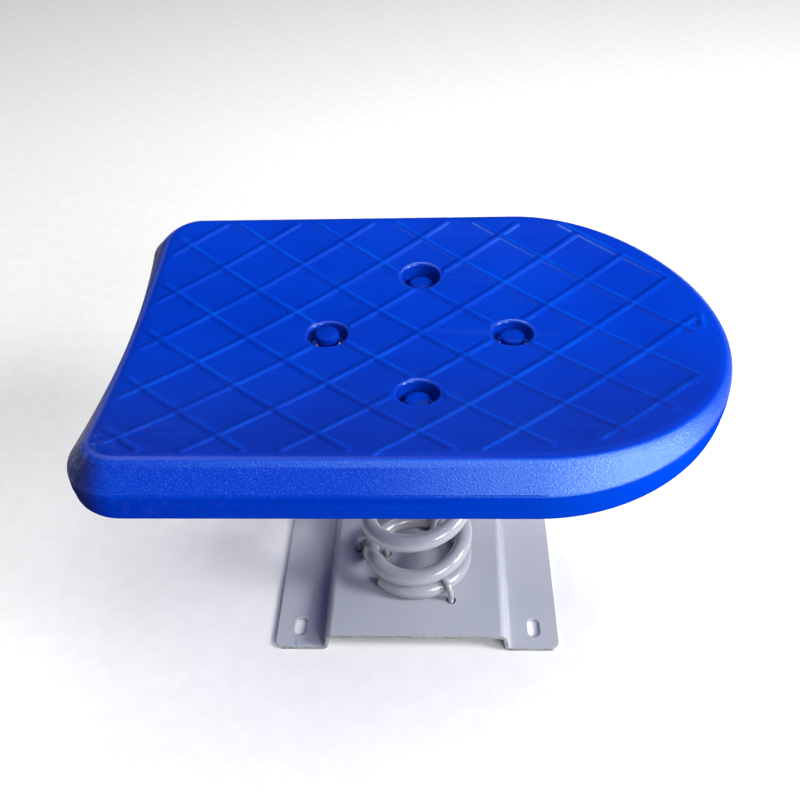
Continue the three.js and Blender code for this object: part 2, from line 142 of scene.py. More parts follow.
def revolve(profile, x=0.0, y=0.0, sides=64, wrap=False, hexagon=None):
    """Rings of a turned profile of (radius, height) pairs. Radii marked None follow a hexagon."""
    angle = np.arange(sides) * TAU / sides
    flat = np.mod(angle, TAU / 6) - TAU / 12
    hex_r = hexagon / 2 / np.cos(flat) if hexagon else None
    rings = []
    for r, z in profile:
        radius = hex_r if r is None else np.full(sides, float(r))
        height = z(radius) if callable(z) else np.full(sides, float(z))
        rings.append(np.c_[x + radius * np.cos(angle), y + radius * np.sin(angle), height])
    return loft(rings, wrap=wrap)


def sweep(points, radii, across, sides=24):
    """A round bar along points; across gives each section's fixed sideways direction."""
    points = np.asarray(points, float)
    tangent = np.gradient(points, axis=0)
    tangent /= np.linalg.norm(tangent, axis=1)[:, None]
    side = np.broadcast_to(across, points.shape).astype(float)
    side = side - (side * tangent).sum(1)[:, None] * tangent
    side /= np.linalg.norm(side, axis=1)[:, None]
    other = np.cross(tangent, side)
    phi = np.arange(sides) * TAU / sides
    radii = np.asarray(radii, float)
    if radii.ndim == 1:
        radii = np.repeat(radii[:, None], sides, axis=1)
    ring = (
        points[:, None, :]
        + (radii * np.cos(phi))[:, :, None] * side[:, None, :]
        + (radii * np.sin(phi))[:, :, None] * other[:, None, :]
    )
    return loft(ring)


def join(parts):
    verts, faces, base = [], [], 0
    for v, f in parts:
        verts.append(np.asarray(v, float))
        faces.extend(tuple(i + base for i in face) for face in f)
        base += len(v)
    return np.vstack(verts), faces


def apply_modifiers(obj):
    graph = bpy.context.evaluated_depsgraph_get()
    mesh = bpy.data.meshes.new_from_object(obj.evaluated_get(graph))
    obj.modifiers.clear()
    obj.data = mesh


def cut(obj, shape, operation="DIFFERENCE"):
    """Boolean with a closed shape made of parts that don't overlap."""
    tool = make_object("tool", *shape, obj.data.materials[0])
    mod = obj.modifiers.new("cut", "BOOLEAN")
    mod.operation = operation
    mod.solver = "MANIFOLD"
    mod.object = tool
    apply_modifiers(obj)
    bpy.data.objects.remove(tool)
    mesh = bmesh.new()
    mesh.from_mesh(obj.data)
    bmesh.ops.dissolve_limit(mesh, angle_limit=0.001, verts=mesh.verts, edges=mesh.edges)
    mesh.to_mesh(obj.data)
    mesh.free()


def round_edges(obj, width, segments=2, angle=35.0, sharp=40.0):
    mod = obj.modifiers.new("edges", "BEVEL")
    mod.width = width * MM
    mod.segments = segments
    mod.limit_method = "ANGLE"
    mod.angle_limit = math.radians(angle)
    mod.use_clamp_overlap = True
    apply_modifiers(obj)
    finish_shading(obj, sharp)


def shade_levels_flat(obj):
    """Plates: level faces are shaded flat, so the faces round the holes can't bend their look."""
    finish_shading(obj)
    for face in obj.data.polygons:
        face.use_smooth = abs(face.normal.z) < 0.9999


def prism(outline, bottom, top):
    outline = np.asarray(outline, float)
    low = np.c_[outline, np.full(len(outline), bottom)]
    high = np.c_[outline, np.full(len(outline), top)]
    return loft([low, high])


def grow(outline, by):
    tangent = np.roll(outline, -1, axis=0) - np.roll(outline, 1, axis=0)
    out = np.c_[tangent[:, 1], -tangent[:, 0]]
    return outline + by * out / np.linalg.norm(out, axis=1)[:, None]


def punch(outline, bottom, surface):
    """Cuts a hole up through a sheet whose top is at surface, and eases its upper edge."""
    rings = []
    for z, ease in ((bottom, 0.0), (surface - 0.6, 0.0), (surface - 0.25, 0.12), (surface, 0.6), (surface + 1, 2.6)):
        rings.append(np.c_[grow(outline, ease), np.full(len(outline), z)])
    return loft(rings)


def circle(radius, x, y, sides=48):
    angle = np.arange(sides) * TAU / sides
    return np.c_[x + radius * np.cos(angle), y + radius * np.sin(angle)]


def slot_outline(length, width, x, y, turn=0.0, steps=16):
    """A slot's plan, counter-clockwise, long in the direction of turn (radians)."""
    r, half = width / 2, length / 2 - width / 2
    a = np.linspace(-math.pi / 2, math.pi / 2, steps + 1)
    right = np.c_[half + r * np.cos(a), r * np.sin(a)]
    points = np.vstack([right, -right])
    c, s = math.cos(turn), math.sin(turn)
    return points @ np.array([[c, s], [-s, c]]) + [x, y]


def rounded_rectangle(width, length, corner, steps=12):
    points = []
    for k, (sx, sy) in enumerate([(1, 1), (-1, 1), (-1, -1), (1, -1)]):
        a = np.linspace(0, math.pi / 2, steps + 1) + k * math.pi / 2
        centre = [sx * (width / 2 - corner), sy * (length / 2 - corner)]
        points.append(np.c_[np.cos(a), np.sin(a)] * corner + centre)
    return np.vstack(points)


def set_attribute(obj, name, values):
    attribute = obj.data.attributes.new(name, "FLOAT", "POINT")
    attribute.data.foreach_set("value", np.asarray(values, np.float32))


# ---- Node helpers ---------------------------------------------------------------------------
class Nodes:
    """Short ways to add nodes to one material."""

    def __init__(self, name):
        self.material = bpy.data.materials.new(name)
        self.material.use_nodes = True
        self.tree = self.material.node_tree
        self.bsdf = self.tree.nodes["Principled BSDF"]
        self.coords = self.add("ShaderNodeTexCoord").outputs["Object"]

    def add(self, kind, **settings):
        node = self.tree.nodes.new(kind)
        for key, value in settings.items():
            setattr(node, key, value)
        return node

    def plug(self, source, socket):
        if hasattr(source, "is_output"):
            self.tree.links.new(source, socket)
        else:
            socket.default_value = source

    def noise(self, scale, detail=3.0, rough=0.55, stretch=None, distortion=0.0):
        node = self.add("ShaderNodeTexNoise")
        node.inputs["Scale"].default_value = scale
        node.inputs["Detail"].default_value = detail
        node.inputs["Roughness"].default_value = rough
        node.inputs["Distortion"].default_value = distortion
        self.plug(self.mapped(stretch) if stretch else self.coords, node.inputs["Vector"])
        return node.outputs["Fac"]

    def mapped(self, scale=(1, 1, 1), turn=(0, 0, 0)):
        node = self.add("ShaderNodeMapping")
        node.inputs["Scale"].default_value = scale
        node.inputs["Rotation"].default_value = turn
        self.plug(self.coords, node.inputs["Vector"])
        return node.outputs["Vector"]

    def spread(self, value, low, high, out_low=0.0, out_high=1.0):
        node = self.add("ShaderNodeMapRange", interpolation_type="SMOOTHSTEP")
        for socket, number in zip(node.inputs, (None, low, high, out_low, out_high)):
            if number is not None:
                socket.default_value = number
        self.plug(value, node.inputs["Value"])
        return node.outputs["Result"]

    def math(self, operation, a, b=0.0):
        node = self.add("ShaderNodeMath", operation=operation)
        self.plug(a, node.inputs[0])
        self.plug(b, node.inputs[1])
        return node.outputs[0]

    def mix(self, factor, a, b):
        node = self.add("ShaderNodeMix", data_type="RGBA")
        self.plug(factor, node.inputs["Factor"])
        self.plug(a, node.inputs[6])
        self.plug(b, node.inputs[7])
        return node.outputs[2]

    def axes(self):
        node = self.add("ShaderNodeSeparateXYZ")
        self.plug(self.coords, node.inputs[0])
        return node.outputs

    def near(self, place, radius, soft):
        node = self.add("ShaderNodeVectorMath", operation="DISTANCE")
        self.plug(self.coords, node.inputs[0])
        node.inputs[1].default_value = place
        return self.spread(node.outputs["Value"], radius, radius + soft, 1.0, 0.0)

    def attribute(self, name):
        return self.add("ShaderNodeAttribute", attribute_name=name).outputs["Fac"]

    def bump(self, height, distance, strength=1.0, below=None):
        node = self.add("ShaderNodeBump")
        self.plug(strength, node.inputs["Strength"])
        node.inputs["Distance"].default_value = distance
        self.plug(height, node.inputs["Height"])
        if below is not None:
            self.plug(below, node.inputs["Normal"])
        return node.outputs["Normal"]

    def finish(self, color, roughness, normal=None, **fixed):
        self.plug(color, self.bsdf.inputs["Base Color"])
        self.plug(roughness, self.bsdf.inputs["Roughness"])
        if normal is not None:
            self.plug(normal, self.bsdf.inputs["Normal"])
        for key, value in fixed.items():
            self.bsdf.inputs[key.replace("_", " ")].default_value = value
        return self.material


# ---- Materials ------------------------------------------------------------------------------
def blue_plastic():
    m = Nodes("blue_moulded_plastic")
    slope, side, lip, wear = (m.attribute(name) for name in ("slope", "side", "lip", "wear"))
    painted_sheen, painted_shade, ridge, foot, rim = (m.attribute(name) for name in ("painted_sheen", "painted_shade", "ridge", "foot", "rim"))
    speckle = m.noise(560.0, 2.0, 0.6)
    grain = m.noise(500.0, 3.0, 0.65)
    body = m.mix(m.spread(m.noise(7.0, 2.0), 0.3, 0.7), (0.0, 0.024, 0.36, 1), (0.0, 0.030, 0.41, 1))
    patchy = m.noise(16.0, 4.0, 0.6)
    shine, shade_patches = m.spread(patchy, 0.35, 0.62, 0.10, 0.42), m.spread(patchy, 0.38, 0.65, 0.52, 0.22)
    # Painted highlight and painted shade on the ribs: a lighter stripe on each rib's flank towards +X and a darker
    # one at its foot towards -X, in patches.
    body = m.mix(m.math("MULTIPLY", ridge, shine), body, (0.0, 0.10, 0.66, 1))
    body = m.mix(m.math("MULTIPLY", foot, shade_patches), body, (0.0, 0.008, 0.18, 1))
    # Painted sheen: the chamfer and the band turn a lighter blue towards the right front, standing in for the light
    # falling there.
    body = m.mix(slope, body, m.mix(painted_sheen, (0.0, 0.030, 0.42, 1), (0.0, 0.066, 0.52, 1)))
    body = m.mix(side, body, m.mix(painted_sheen, (0.0, 0.024, 0.38, 1), (0.0, 0.038, 0.46, 1)))
    # Light flecks: the moulding's speckle over the whole deck, and many more on the chamfer as painted glints of its
    # grain.
    fleck = m.math("MULTIPLY", m.spread(speckle, 0.5, 0.75), m.math("ADD", 0.07, m.math("MULTIPLY", slope, 0.4)))
    body = m.mix(fleck, body, (0.01, 0.15, 0.78, 1))
    # Painted shade: near-black on the tail end's side and chamfer, and darker towards the front of the top.
    body = m.mix(painted_shade, body, (0.012, 0.012, 0.07, 1))
    # Painted highlight: a thin lighter line along the top edge at the tail end.
    body = m.mix(m.math("MULTIPLY", rim, 0.35), body, (0.10, 0.15, 0.55, 1))
    rub = m.math("MULTIPLY", wear, m.spread(m.noise(120.0, 5.0, 0.75), 0.46, 0.66))
    body = m.mix(rub, body, (0.20, 0.27, 0.58, 1))
    rough = m.math("SUBTRACT", m.spread(grain, 0.3, 0.7, 0.30, 0.37), m.math("MULTIPLY", lip, 0.12))
    normal = m.bump(m.noise(26.0, 1.0), 0.0012, 0.2)
    strength = m.math("ADD", 0.05, m.math("MULTIPLY", slope, 0.95))
    normal = m.bump(grain, 0.0009, strength, normal)
    # The specular level also rises towards the right front: painted sheen placed by position, not by the lamps.
    gloss = m.math("ADD", 0.16, m.math("MULTIPLY", painted_sheen, 0.95))
    sheen = m.math("ADD", m.math("MULTIPLY", slope, gloss), m.math("MULTIPLY", lip, 0.5))
    sheen = m.math("MULTIPLY", m.math("ADD", 0.03, sheen), m.math("SUBTRACT", 1.0, side))
    m.plug(sheen, m.bsdf.inputs["Specular IOR Level"])
    tint = m.mix(m.math("MAXIMUM", slope, lip), (0.05, 0.35, 1.0, 1), (0.62, 0.88, 0.95, 1))
    m.plug(tint, m.bsdf.inputs["Specular Tint"])
    return m.finish(body, rough, normal)


def cap_plastic():
    m = Nodes("blue_cap_plastic")
    grain = m.noise(900.0, 2.0)
    cloud = m.noise(70.0, 2.0)
    body = m.mix(m.spread(cloud, 0.35, 0.65), (0.0, 0.020, 0.30, 1), (0.0, 0.026, 0.35, 1))
    return m.finish(body, m.spread(grain, 0.3, 0.7, 0.2, 0.3), m.bump(grain, 0.0002, 0.2), Specular_IOR_Level=0.04,
                    Specular_Tint=(0.1, 0.5, 1.0, 1))


def grey_paint(name, low, high, rough_low, rough_high, peel):
    """Powder coat: slow drifts of tone, a few darker specks and fine orange peel."""
    m = Nodes(name)
    cloud = m.noise(6.0, 2.0)
    fine = m.noise(240.0, 3.0)
    body = m.mix(m.spread(cloud, 0.32, 0.68), low, high)
    body = m.mix(m.spread(fine, 0.68, 0.80, 0.0, 0.25), body, (0.25, 0.25, 0.29, 1))
    rough = m.spread(fine, 0.3, 0.7, rough_low, rough_high)
    return m, body, rough, m.bump(m.noise(420.0, 1.5), 0.0004, peel)


def base_paint():
    low, high = (0.41, 0.43, 0.485, 1), (0.44, 0.46, 0.515, 1)
    m, body, rough, normal = grey_paint("base_grey_paint", low, high, 0.32, 0.42, 0.12)
    # Bare, slightly green-brown metal where the sheet was cut, and a small ink smear on one foot.
    x, y, _ = m.axes()
    ends = m.math("ABSOLUTE", m.math("SUBTRACT", x, SPRING_X * MM))
    fronts = m.math("ABSOLUTE", m.math("SUBTRACT", y, BASE_Y * MM))
    worn = m.math(
        "MAXIMUM",
        m.spread(ends, (BASE_WIDTH / 2 - 0.9) * MM, (BASE_WIDTH / 2 - 0.3) * MM),
        m.spread(fronts, (BASE_LENGTH / 2 - 0.9) * MM, (BASE_LENGTH / 2 - 0.3) * MM),
    )
    worn = m.math("MULTIPLY", worn, m.spread(m.noise(420.0, 3.0), 0.35, 0.6, 0.25, 0.8))
    body = m.mix(worn, body, (0.13, 0.14, 0.09, 1))
    streaks = m.spread(m.noise(260.0, 3.0, stretch=(1.0, 0.3, 1.0)), 0.45, 0.6, 0.0, 0.5)
    ink = m.math("MULTIPLY", m.near((-0.160, -0.113, 0.005), 0.003, 0.005), streaks)
    body = m.mix(ink, body, (0.10, 0.22, 0.55, 1))
    return m.finish(body, rough, normal, Specular_IOR_Level=0.5)


def steel_paint(name, low, high):
    m, body, rough, normal = grey_paint(name, low, high, 0.20, 0.28, 0.10)
    return m.finish(body, rough, normal, Specular_IOR_Level=0.6, Coat_Weight=0.4, Coat_Roughness=0.1)


def zinc():
    m = Nodes("zinc_plated_steel")
    cloud = m.noise(55.0, 3.0)
    fine = m.noise(500.0, 2.0)
    body = m.mix(m.spread(cloud, 0.35, 0.65), (0.48, 0.49, 0.50, 1), (0.62, 0.62, 0.60, 1))
    return m.finish(body, m.spread(cloud, 0.3, 0.7, 0.25, 0.42), m.bump(fine, 0.0002, 0.15), Metallic=0.9)


def floor_paper():
    m = Nodes("floor_paper")
    fibre = m.noise(40.0, 4.0)
    body = m.mix(m.spread(fibre, 0.3, 0.7), (0.86, 0.86, 0.86, 1), (0.89, 0.89, 0.89, 1))
    return m.finish(body, 0.9, m.bump(fibre, 0.0003, 0.1), Specular_IOR_Level=0.1)


BLUE = blue_plastic()
CAP_BLUE = cap_plastic()
BASE_GREY = base_paint()
SPRING_GREY = steel_paint("spring_grey_paint", (0.32, 0.325, 0.37, 1), (0.35, 0.355, 0.40, 1))
ZINC = zinc()


# ---- Spring ---------------------------------------------------------------------------------
def climb(turn):
    if turn <= RAMP_START:
        return STEP_RISE * float(smooth(FLAT_TURN, RAMP_START, turn))
    if turn <= END_TURN:
        return STEP_RISE + PITCH * (turn - RAMP_START) ** 2 / (720 * RAMP_TURN)
    return END_RISE + PITCH * (turn - END_TURN) / 360


def wire_height(turn):
    if turn <= WIRE_TURN / 2:
        return WIRE_BOTTOM_Z + climb(turn)
    return WIRE_TOP_Z - climb(WIRE_TURN - turn)


def wire_piece(name, start, end, round_start, round_end):
    step = 4.0
    turns = np.linspace(start, end, int((end - start) / step) + 1)
    radii = np.full(len(turns), WIRE_R)
    lip = 1.2  # the sawn ends have a small rounded edge
    lip_turn = math.degrees(lip / COIL_R)
    if round_start:
        extra = start + lip_turn * np.array([0.0, 0.13, 0.5, 1.0])
        turns = np.r_[extra, turns[turns > start + lip_turn]]
        radii = np.r_[WIRE_R - lip * np.array([1.0, 0.5, 0.13, 0.0]), np.full(len(turns) - 4, WIRE_R)]
    if round_end:
        extra = end - lip_turn * np.array([1.0, 0.5, 0.13, 0.0])
        keep = turns < end - lip_turn
        turns = np.r_[turns[keep], extra]
        radii = np.r_[radii[keep], WIRE_R - lip * np.array([0.0, 0.13, 0.5, 1.0])]
    angle = np.radians(WIRE_START + turns)
    heights = np.array([wire_height(t) for t in turns])
    out = np.c_[np.cos(angle), np.sin(angle), np.zeros(len(turns))]
    points = out * COIL_R + np.c_[np.full(len(turns), SPRING_X), np.full(len(turns), SPRING_Y), heights]
    verts, faces = sweep(points, radii, out, sides=32)
    return make_object(name, verts, faces, SPRING_GREY)


def add_spring():
    third = FULL_PITCH_TURN / 3
    cuts = [0.0, END_TURN + third, END_TURN + 2 * third, WIRE_TURN]
    spans = [
        ("spring_wire_lower", "spring_lower_coils", "base", "spring_lower", 0.074, 0.150),
        ("spring_wire_middle", "spring_middle_coils", "spring_lower", "spring_middle", 0.166, 0.230),
        ("spring_wire_upper", "spring_upper_coils", "spring_middle", "deck", 0.252, 0.326),
    ]
    for i, (name, node, below, above, low, high) in enumerate(spans):
        piece = wire_piece(name, cuts[i], cuts[i + 1], i == 0, i == len(spans) - 1)
        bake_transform(piece)
        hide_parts(node)


# ---- Screws, nuts and washers ---------------------------------------------------------------
def thread_radii(along, sides, radius, pitch, depth, start, end):
    """Radius of a screw thread at each ring and side; plain outside start..end."""
    phi = np.arange(sides) / sides
    phase = np.mod(along[:, None] / pitch - phi[None, :], 1.0)
    ridge = 1 - np.abs(2 * phase - 1)
    fade = smooth(start, start + pitch, along) * (1 - smooth(end - pitch, end, along))
    return radius - depth * (1 - ridge) * fade[:, None]


def place_local(verts, x, y, angle, z, upside_down=False):
    """Turns a shape made round the origin and puts it on the clamp's axis."""
    verts = np.asarray(verts, float)
    if upside_down:
        verts = verts * [1, -1, -1]
    c, s = math.cos(angle), math.sin(angle)
    turned = np.c_[verts[:, 0] * c - verts[:, 1] * s, verts[:, 0] * s + verts[:, 1] * c, verts[:, 2]]
    return turned + [x, y, z]


def u_bolt_shape(leg, rise):
    pitch, sides = 1.25, 20
    threaded = 24.0
    fine = np.arange(0.0, threaded + 1.0, pitch / 5)
    plain = np.linspace(threaded + 1.5, leg, 4)
    up = np.r_[fine[fine < leg - 1.5], plain[plain > threaded + 1.0]] if leg > threaded else fine[fine < leg]
    bow = np.linspace(0, math.pi, 33)[1:-1]
    left = np.c_[np.full(len(up), -LEG_OFFSET), np.zeros(len(up)), up - leg]
    arc = np.c_[-LEG_OFFSET * np.cos(bow), np.zeros(len(bow)), rise * np.sin(bow)]
    right = left[::-1] * [-1, 1, 1]
    radii_up = thread_radii(up, sides, ROD_R, pitch, 0.55, 0.6, threaded)
    tip = np.interp(up, [0.0, 1.0], [1.0, 0.0])
    radii_up = radii_up - tip[:, None] * 0.8
    radii = np.vstack([radii_up, np.full((len(bow), sides), ROD_R), radii_up[::-1]])
    return sweep(np.vstack([left, arc, right]), radii, (0, 1, 0), sides)


def hex_nut_shape(across, height, bore):
    slope = math.tan(math.radians(30))
    inner = across / 2 * 0.97
    low = lambda r: np.maximum(0, r - inner) * slope
    high = lambda r: height - np.maximum(0, r - inner) * slope
    profile = [
        (bore, 0.6), (bore + 0.6, 0.0), (inner, 0.0), (None, low),
        (None, high), (inner, height), (bore + 0.6, height), (bore, height - 0.6),
    ]
    return revolve(profile, hexagon=across, sides=72, wrap=True)


def washer_shape(outer, bore, height):
    edge = min(0.4, height / 4)
    profile = [
        (bore, 0.0), (outer - edge, 0.0), (outer, edge), (outer, height - edge),
        (outer - edge, height), (bore + edge, height), (bore, height - edge),
    ]
    return revolve(profile, sides=48, wrap=True)


def add_clamps():
    gap, washer_h, nut_h = 0.3, 1.6, 6.5
    for end, body, far_face, facing in (("lower", "base", 24.0, 1), ("upper", "deck", TOP_PLATE_TOP, -1)):
        for k, (offset, rise) in enumerate(U_BOLTS, start=1):
            turn = offset if facing > 0 else WIRE_TURN - offset
            angle = math.radians(WIRE_START + turn)
            x, y = SPRING_X + COIL_R * math.cos(angle), SPRING_Y + COIL_R * math.sin(angle)
            z = wire_height(turn)
            clamp = f"{end}_clamp_{k}"
            verts, faces = u_bolt_shape(abs(z - far_face) + ROD_TAIL, rise)
            piece = make_object(f"{clamp}_rod", place_local(verts, x, y, angle, z, facing < 0), faces, SPRING_GREY)
            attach(piece, body)
            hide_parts(f"{clamp}_u_bolt")
            for side, leg in (("inner", -LEG_OFFSET), ("outer", LEG_OFFSET)):
                lx, ly = x + leg * math.cos(angle), y + leg * math.sin(angle)
                near = far_face - facing * gap
                for part, height, shape in (
                    ("washer", washer_h, washer_shape(8.0, 4.3, washer_h)),
                    ("nut", nut_h, hex_nut_shape(13.0, nut_h, 4.3)),
                ):
                    bottom = near - height if facing > 0 else near
                    verts, faces = shape
                    turned = place_local(verts, lx, ly, angle + 0.3 * k, bottom)
                    item = make_object(f"{clamp}_{side}_{part}_fine", turned, faces, ZINC, 30.0)
                    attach(item, body)
                    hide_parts(f"{clamp}_{side}_{part}")
                    near = near - facing * (height + gap)


def clamp_holes(from_end, bottom, surface):
    parts = []
    for offset, _ in U_BOLTS:
        turn = WIRE_TURN - offset if from_end else offset
        angle = math.radians(WIRE_START + turn)
        for leg in (-LEG_OFFSET, LEG_OFFSET):
            r = COIL_R + leg
            x, y = SPRING_X + r * math.cos(angle), SPRING_Y + r * math.sin(angle)
            parts.append(punch(circle(ROD_HOLE_R, x, y), bottom, surface))
    return parts


def add_deck_fasteners():
    washer_bottom = RECESS_FLOOR + 0.3
    seat = washer_bottom + 2.5 + 0.3
    head, head_h = 18.0, 7.5
    slope = math.tan(math.radians(30))
    for place, (bx, by) in BOLT_PLACES.items():
        x, y = DECK_X + bx, by
        verts, faces = washer_shape(14.0, 6.3, 2.5)
        washer = make_object(f"deck_washer_{place}_fine", verts + [x, y, washer_bottom], faces, ZINC, 30.0)

        along = np.arange(0.0, 30.0, 1.75 / 5)
        radii = thread_radii(along, 24, 6.0, 1.75, 0.8, 0.8, 29.0)
        radii = radii - np.interp(along, [0.0, 1.2], [1.0, 0.0])[:, None]
        upper = np.array([31.0, 36.0, seat - 350.0])
        angle = np.arange(24) * TAU / 24
        rings = [
            np.c_[r * np.cos(angle), r * np.sin(angle), np.full(24, 350.0 + a)]
            for r, a in zip(list(radii) + [np.full(24, 6.0)] * 3, np.r_[along, upper])
        ]
        hex_r = head / 2 / np.cos(np.mod(angle, TAU / 6) - TAU / 12)
        inner = head / 2 * 0.97
        top = seat + head_h
        for r, z in (
            (np.full(24, head / 2 * 0.93), seat),
            (hex_r, seat + 0.5),
            (hex_r, top - np.maximum(0, hex_r - inner) * slope),
            (np.full(24, inner), top),
        ):
            rings.append(np.c_[r * np.cos(angle), r * np.sin(angle), np.broadcast_to(z, 24)])
        verts, faces = loft(rings)
        bolt = make_object(f"deck_bolt_{place}_fine", verts + [x, y, 0], faces, ZINC, 30.0)

        plate = TOP_PLATE_BOTTOM - 0.3
        across, height, flange = 18.0, 10.8, 13.0
        bottom = lambda r: plate - height + np.maximum(0, r - across / 2 * 0.97) * slope
        profile = [
            (6.3, plate - height + 0.6), (6.9, plate - height), (across / 2 * 0.97, plate - height),
            (None, bottom), (None, plate - 4.2), (flange - 1.2, plate - 2.6),
            (flange, plate - 1.9), (flange, plate - 0.5), (flange - 0.5, plate), (6.3, plate),
        ]
        verts, faces = revolve(profile, hexagon=across, sides=72, wrap=True)
        nut = make_object(f"deck_nut_{place}_fine", verts + [x, y, 0], faces, ZINC, 30.0)

        lift = RAISED_CAP_LIFT if place == "left" else 0.0
        cap = make_object(f"bolt_cap_{place}_fine", *cap_shape(x, y, seat + lift), CAP_BLUE, 30.0)
        for piece, node, slot in (
            (washer, "deck_washer", "fastener_steel"),
            (bolt, "deck_bolt", "fastener_steel"),
            (nut, "deck_nut", "fastener_steel"),
            (cap, "bolt_cap", "cap_plastic"),
        ):
            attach(piece, "deck")
            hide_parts(f"{node}_{place}")


def cap_shape(x, y, seat):
    """A thin snap-on cap: rounded shoulder, shallow ring, low crown; open underneath."""
    h, r = CAP_HEIGHT, CAP_R
    profile = [
        (r - 1.6, 0.4), (r - 1.2, 0.0), (r - 0.4, 0.0), (r, 0.5), (r, h - 3.2),
        (r - 0.1, h - 2.2), (r - 0.4, h - 1.5), (r - 0.9, h - 1.0), (r - 1.6, h - 0.75),
        (r - 2.2, h - 0.75), (r - 2.8, h - 0.55), (r - 4.5, h - 0.3), (r - 8.0, h - 0.1), (0.6, h),
        (0.6, h - 1.6), (r - 6.0, h - 1.9), (r - 3.4, h - 2.3), (r - 1.6, h - 3.4),
    ]
    verts, faces = revolve([(a, b + seat) for a, b in profile], sides=72, wrap=True)
    sides = 72
    top, under = 13 * sides, 14 * sides
    faces = [f for f in faces if not (set(f) <= set(range(top, top + sides)) | set(range(under, under + sides)))]
    faces.append(tuple(range(top, top + sides)))
    faces.append(tuple(range(under + sides - 1, under - 1, -1)))
    return verts + [x, y, 0], faces


# ---- Base plate -----------------------------------------------------------------------------
def hat_faces():
    high, low = BASE_HEIGHT - BASE_SHEET / 2, BASE_SHEET / 2
    bend = math.radians(BASE_WEB_ANGLE)
    a = np.linspace(0, bend, 13)
    upper_bend = np.c_[BASE_FLAT + BASE_BEND * np.sin(a), high - BASE_BEND * (1 - np.cos(a)), a]
    drop = high - low - 2 * BASE_BEND * (1 - math.cos(bend))
    foot = BASE_FLAT + 2 * BASE_BEND * math.sin(bend) + drop / math.tan(bend)
    b = a[::-1]
    lower_bend = np.c_[foot - BASE_BEND * np.sin(b), low + BASE_BEND * (1 - np.cos(b)), b]
    centre = np.vstack([upper_bend, lower_bend])
    ease = 0.7 * np.array([[1.0, 0.0], [0.5, 0.13], [0.13, 0.5], [0.0, 1.0]])  # (from the tip, from the face)
    faces = []
    for side in (1, -1):
        shift = side * BASE_SHEET / 2
        line = np.c_[centre[:, 0] + shift * np.sin(centre[:, 2]), centre[:, 1] + shift * np.cos(centre[:, 2])]
        tip = np.c_[BASE_WIDTH / 2 - ease[:, 0], low + shift - side * ease[:, 1]]
        faces.append(np.vstack([line, tip]))
    return faces


def add_base():
    upper, lower = hat_faces()
    outline = np.vstack([upper, lower[::-1], lower * [-1, 1], (upper * [-1, 1])[::-1]])
    half = BASE_LENGTH / 2
    eased = ((half, 0.7), (half - 0.2, 0.27), (half - 0.7, 0))  # (distance from the middle, how far it draws in)
    rings = []
    for y, ease in [(-y, ease) for y, ease in eased] + list(reversed(eased)):
        ring = grow(outline, ease)
        rings.append(np.c_[ring[:, 0], np.full(len(ring), y), ring[:, 1]])
    base = make_object("base_plate_fine", *loft(rings, flip=True), BASE_GREY)
    plan = rounded_rectangle(BASE_WIDTH + 0.02, BASE_LENGTH + 0.02, BASE_CORNER)
    cut(base, prism(plan, -1, BASE_HEIGHT + 1), "INTERSECT")
    slots = [
        punch(slot_outline(ANCHOR_LENGTH, ANCHOR_WIDTH, x, y, math.pi / 2), -1, BASE_SHEET)
        for x in (-ANCHOR_X, ANCHOR_X)
        for y in (-ANCHOR_Y, ANCHOR_Y)
    ]
    shift = [SPRING_X, BASE_Y, 0]
    holes = [(v - shift, f) for v, f in clamp_holes(False, BASE_HEIGHT - BASE_SHEET - 1, BASE_HEIGHT)]
    cut(base, join(slots + holes))
    base.data.transform(Matrix.Translation((SPRING_X * MM, BASE_Y * MM, 0)))
    shade_levels_flat(base)
    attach(base, "base")
    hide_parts("base_plate")


def add_top_plate():
    c = math.cos(math.pi / 4)
    plan = rounded_rectangle(TOP_PLATE_SIDE, TOP_PLATE_SIDE, TOP_PLATE_CORNER) @ np.array([[c, c], [-c, c]])
    plate = make_object("top_plate_fine", *prism(plan + [DECK_X, 0], TOP_PLATE_BOTTOM, TOP_PLATE_TOP), SPRING_GREY)
    holes = [punch(circle(6.5, DECK_X + x, y), TOP_PLATE_BOTTOM - 1, TOP_PLATE_TOP) for x, y in BOLT_PLACES.values()]
    round_edges(plate, 0.7)
    cut(plate, join(holes + clamp_holes(True, TOP_PLATE_BOTTOM - 1, TOP_PLATE_TOP)))
    shade_levels_flat(plate)
    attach(plate, "deck")
    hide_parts("top_plate")


# ---- Deck -----------------------------------------------------------------------------------
EDGE = 2.0  # the top grid stops this far inside the outline; rounded rings carry on from it
COLUMNS, ROWS = 370, 400


def outline_x(y, inset):
    """Left and right ends of the deck's outline, moved inwards by inset, at each y."""
    b = DECK_HALF_WIDTH - inset
    share = np.clip(np.abs(y) / b, 0, 1)
    right = NOSE_START + (NOSE_LENGTH - inset) * (1 - share**NOSE_POWER) ** (1 / NOSE_POWER)
    corner_y = DECK_HALF_WIDTH - TAIL_CORNER
    tail_x = -TAIL_MID - TAIL_RADIUS
    reach = TAIL_RADIUS + TAIL_CORNER
    corner_x = tail_x + math.sqrt(reach**2 - corner_y**2)
    lean = math.asin(corner_y / reach)
    r = TAIL_CORNER - inset
    in_corner = np.abs(y) > corner_y - r * math.sin(lean)
    arc = corner_x - np.sqrt(np.maximum(r**2 - (np.abs(y) - corner_y) ** 2, 0))
    tail = tail_x + np.sqrt((TAIL_RADIUS + inset) ** 2 - y**2)
    return np.where(in_corner, arc, tail), right


def grid_points():
    theta = np.linspace(-math.pi / 2, math.pi / 2, ROWS + 1)
    y = (DECK_HALF_WIDTH - EDGE) * np.sin(theta)
    left, right = outline_x(y, EDGE)
    s = np.linspace(0, 1, COLUMNS + 1)
    x = left[:, None] + (right - left)[:, None] * s[None, :]
    return x, np.repeat(y[:, None], COLUMNS + 1, axis=1)


